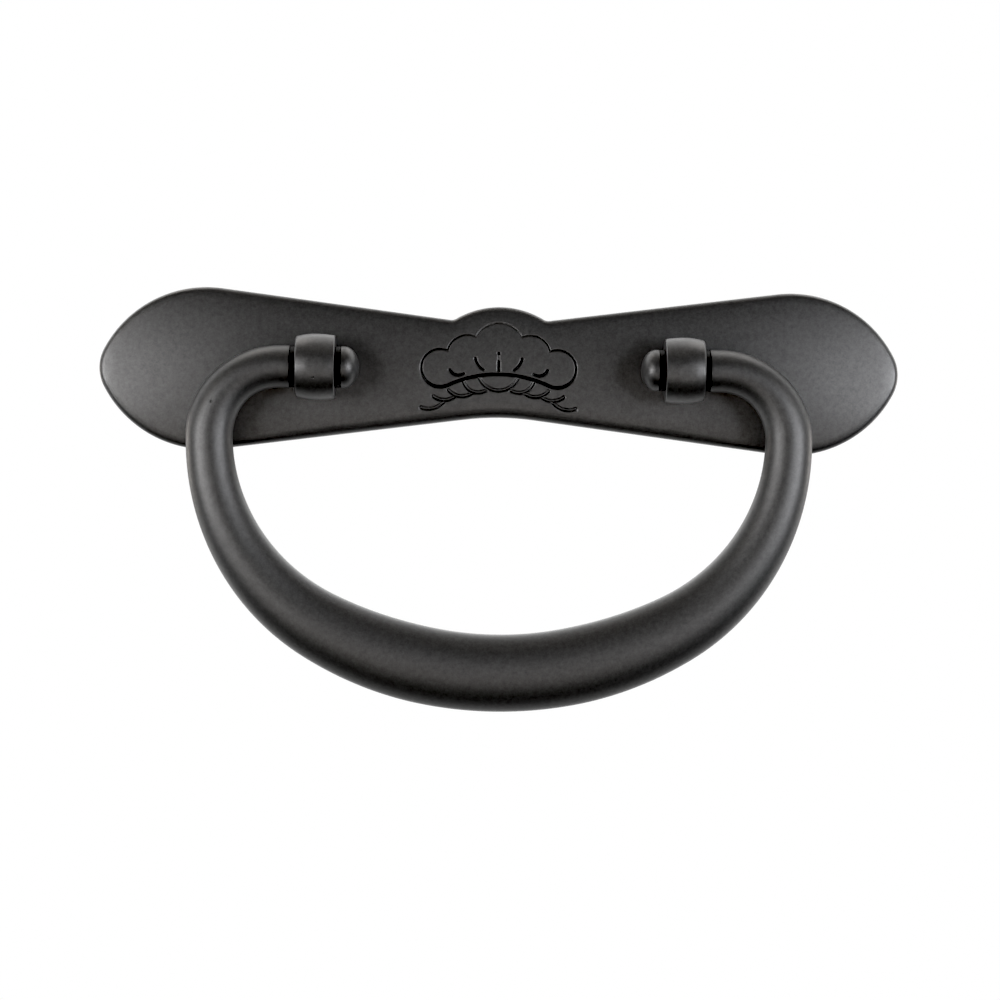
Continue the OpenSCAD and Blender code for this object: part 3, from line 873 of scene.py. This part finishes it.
def nylon(name):
    look = nylonLook
    material, shader = newMaterial(name, look["colour"], look["plainRoughness"])
    shader.inputs["Specular IOR Level"].default_value = look["sheen"]
    link = material.node_tree.links.new
    spot = addNode(material, "ShaderNodeTexCoord")
    grain = addNode(material, "ShaderNodeTexNoise", Scale=look["grainScale"], Detail=3)
    tone = spread(material, 0, 1, *look["roughness"])
    link(spot.outputs["Object"], grain.inputs["Vector"])
    link(grain.outputs["Fac"], tone.inputs["Value"])
    link(tone.outputs["Result"], shader.inputs["Roughness"])
    return material


def washerSteel(name):
    look = steelLook
    material, shader = newMaterial(name, look["colour"], look["plainRoughness"], metallic=1.0)
    link = material.node_tree.links.new
    spot = addNode(material, "ShaderNodeTexCoord")
    grain = addNode(material, "ShaderNodeTexNoise", Scale=look["grainScale"], Detail=4)
    rough = spread(material, 0, 1, *look["roughness"])
    bump = addNode(
        material, "ShaderNodeBump", Strength=look["grainStrength"], Distance=look["grainHeight"] * mm)
    link(spot.outputs["Object"], grain.inputs["Vector"])
    link(grain.outputs["Fac"], rough.inputs["Value"])
    link(rough.outputs["Result"], shader.inputs["Roughness"])
    link(grain.outputs["Fac"], bump.inputs["Height"])
    link(bump.outputs["Normal"], shader.inputs["Normal"])
    return material


platePaint = satinPaint("plate_paint", seed=1, smoother=0.055, shinier=1.1)
bailPaint = satinPaint("bail_paint", seed=2)
postPaint = satinPaint("post_paint", seed=3, smoother=0.03, shinier=1.1)
pinPaint = satinPaint("pin_paint", seed=4, smoother=0.03, shinier=1.05)
blackNylon = nylon("black_nylon")
plainSteel = washerSteel("washer_steel")

# Make the pieces
plateShell, plateOutline = buildPlate()
engraveMotif(plateShell, plateOutline)
finishPiece(plateShell, platePaint, "base", "back_plate", smoothAngle=60)
print("plate: triangles", sum(len(f.vertices) - 2 for f in plateShell.data.polygons))

bailBar = buildBail()
finishPiece(bailBar, bailPaint, "bail", "bail")
print("bail: faces", len(bailBar.data.polygons))

rightPost = buildPost()
finishPair(rightPost, "left_eye_post", postPaint, "base", "post", smoothAngle=35)
print("posts: faces", len(rightPost.data.polygons))

finishPair(buildPin(), "left_dome_pin", pinPaint, "bail", "pivot_pin")

for kind, low, thickness in (
        ("outer", postX + post["eyeWidth"] / 2 + sidePlay, washers["outerThickness"]),
        ("inner", headX + sidePlay, washers["innerThickness"])):
    ring = buildSpacer(f"right_{kind}_ring", low, thickness)
    finishPair(ring, f"left_{kind}_ring", blackNylon, "bail", f"{kind}_spacer")

finishPair(
    buildRetainer(), "left_retainer", plainSteel, "base", "retaining_washer")
print("pins and washers made")

# Camera
view = {
    "distance": 0.430,
    "lens": 101.8,
    "target": (0.00031, 0.0, -0.01952),
    "yaw": 0.8,
    "roll": 0.59,
    "sensor": 36,
    "clip": (0.01, 20),
}


def placeCamera():
    v = view
    yaw = math.radians(v["yaw"])
    back = Vector((-math.sin(yaw), -math.cos(yaw), 0))
    bpy.ops.object.camera_add()
    camera = bpy.context.object
    camera.name = "photo_camera"
    camera.location = Vector(v["target"]) + back * v["distance"]
    turn = (-back).to_track_quat("-Z", "Y").to_matrix().to_4x4()
    camera.rotation_euler = (turn @ Matrix.Rotation(math.radians(v["roll"]), 4, "Z")).to_euler()
    camera.data.lens = v["lens"]
    camera.data.sensor_width = v["sensor"]
    camera.data.clip_start, camera.data.clip_end = v["clip"]
    bpy.context.scene.camera = camera


placeCamera()

# Stage and light
studio = {
    "aim": (0.0, -0.006, -0.012),
    "distance": 0.42,
    "floorHeight": -0.5,
    "floorRadius": 1.3,
    "floorColour": (0.86, 0.86, 0.85),
    "floorRoughness": 0.8,
    "floorTurns": 128,
    "blackLevel": 0.0206,
    # degrees round to each side, degrees up, width, height, brightness, tint;
    # the brightnesses began in least-squares fits to the photo, and six were changed
    "lamps": [
        (0, 0, 0.075, 0.09, 1.4, "warm"),
        (0, -6, 0.16, 0.044, 3.2, "warm"),
        (0, -27, 0.16, 0.044, 6.7, "warm"),
        (0, 66, 0.2, 0.16, 1.4, "warm"),
        (24, -23, 0.16, 0.044, 7.1, "warm"),
        (30, 0, 0.075, 0.09, 24.0, "cool"),
        (40, 13, 0.15, 0.09, 12.0, "cool"),
        (48, -6, 0.16, 0.044, 17.3, "cool"),
        (50, 0, 0.075, 0.09, 20.0, "cool"),
        (60, 0, 0.075, 0.09, 34.0, "cool"),
        (60, 27, 0.15, 0.11, 3.0, "warm"),
        (120, 0, 0.1, 0.09, 7.4, "warm"),
        (120, 66, 0.2, 0.16, 3.2, "warm"),
    ],
    "tints": {"warm": (1.05, 0.985, 0.94), "cool": (0.985, 0.995, 1.03)},
    "leftTint": (1.02, 1.0, 0.97),
    # the wall behind, from straight down to straight up, as shares of its brightness;
    # it began in such fits too, and was changed
    "wallBrightness": 4.2,
    "wallEdge": 0.02,  # it fades in while a direction's y goes from 0 to this
    "wall": [
        (0.0, 0.25), (0.21, 0.3), (0.25, 0.5), (0.38, 0.5), (0.42, 0.22),
        (0.58, 0.22), (0.62, 0.75), (0.77, 0.9), (0.93, 0.45)],
}


def addLamp(around, up, width, height, brightness, tint):
    aim = Vector(studio["aim"])
    a, e = math.radians(around), math.radians(up)
    way = Vector((math.sin(a) * math.cos(e), -math.cos(a) * math.cos(e), math.sin(e)))
    deselectAll()
    bpy.ops.object.light_add(type="AREA", location=aim + way * studio["distance"])
    lamp = bpy.context.object
    lamp.name = lamp.data.name = f"lamp_{around}_{up}"
    lamp.rotation_euler = way.to_track_quat("Z", "Y").to_euler()
    lamp.data.shape = "RECTANGLE"
    lamp.data.size = width
    lamp.data.size_y = height
    lamp.data.energy = math.pi * width * height * brightness
    side = studio["leftTint"] if around < 0 else (1, 1, 1)
    lamp.data.color = [t * s for t, s in zip(studio["tints"][tint], side)]
    lamp.visible_camera = False


def studioWorld():
    world = bpy.data.worlds.new("studio")
    bpy.context.scene.world = world
    world.use_nodes = True
    tree = world.node_tree
    link = tree.links.new
    soft = tree.nodes["Background"]
    way = tree.nodes.new("ShaderNodeTexCoord")
    parts = tree.nodes.new("ShaderNodeSeparateXYZ")
    link(way.outputs["Generated"], parts.inputs["Vector"])
    height = tree.nodes.new("ShaderNodeMapRange")
    height.inputs["From Min"].default_value = -1
    link(parts.outputs["Z"], height.inputs["Value"])
    ramp = tree.nodes.new("ShaderNodeValToRGB")
    stops = ramp.color_ramp.elements
    while len(stops) < len(studio["wall"]):
        stops.new(0.5)
    for stop, (spot, value) in zip(stops, studio["wall"]):
        stop.position = spot
        stop.color = (value, value, value, 1)
    link(height.outputs["Result"], ramp.inputs["Fac"])
    behind = tree.nodes.new("ShaderNodeMapRange")
    behind.inputs["From Max"].default_value = studio["wallEdge"]
    behind.inputs["To Max"].default_value = studio["wallBrightness"]
    link(parts.outputs["Y"], behind.inputs["Value"])
    link(ramp.outputs["Color"], soft.inputs["Color"])
    link(behind.outputs["Result"], soft.inputs["Strength"])
    seen = tree.nodes.new("ShaderNodeLightPath")
    white = tree.nodes.new("ShaderNodeBackground")
    white.inputs["Color"].default_value = (1, 1, 1, 1)
    white.inputs["Strength"].default_value = 1.0
    mix = tree.nodes.new("ShaderNodeMixShader")
    link(seen.outputs["Is Camera Ray"], mix.inputs["Fac"])
    link(soft.outputs["Background"], mix.inputs[1])
    link(white.outputs["Background"], mix.inputs[2])
    link(mix.outputs["Shader"], tree.nodes["World Output"].inputs["Surface"])


def addFloor():
    deselectAll()
    bpy.ops.mesh.primitive_circle_add(
        vertices=studio["floorTurns"], radius=studio["floorRadius"], fill_type="NGON",
        location=(0, 0, studio["floorHeight"]))
    floor = bpy.context.object
    floor.name = floor.data.name = "floor"
    material, shader = newMaterial("floor", studio["floorColour"], studio["floorRoughness"])
    floor.data.materials.append(material)
    floor.visible_glossy = False
    floor.visible_diffuse = False


def blackLevel(level):
    settings = bpy.context.scene.view_settings
    settings.view_transform = "Standard"
    settings.use_curve_mapping = True
    curves = settings.curve_mapping
    curves.black_level = (level, level, level)
    curves.update()


for lampSetting in studio["lamps"]:
    addLamp(*lampSetting)
    if 0 < lampSetting[0] < 180:
        addLamp(-lampSetting[0], *lampSetting[1:])
studioWorld()
addFloor()
blackLevel(studio["blackLevel"])
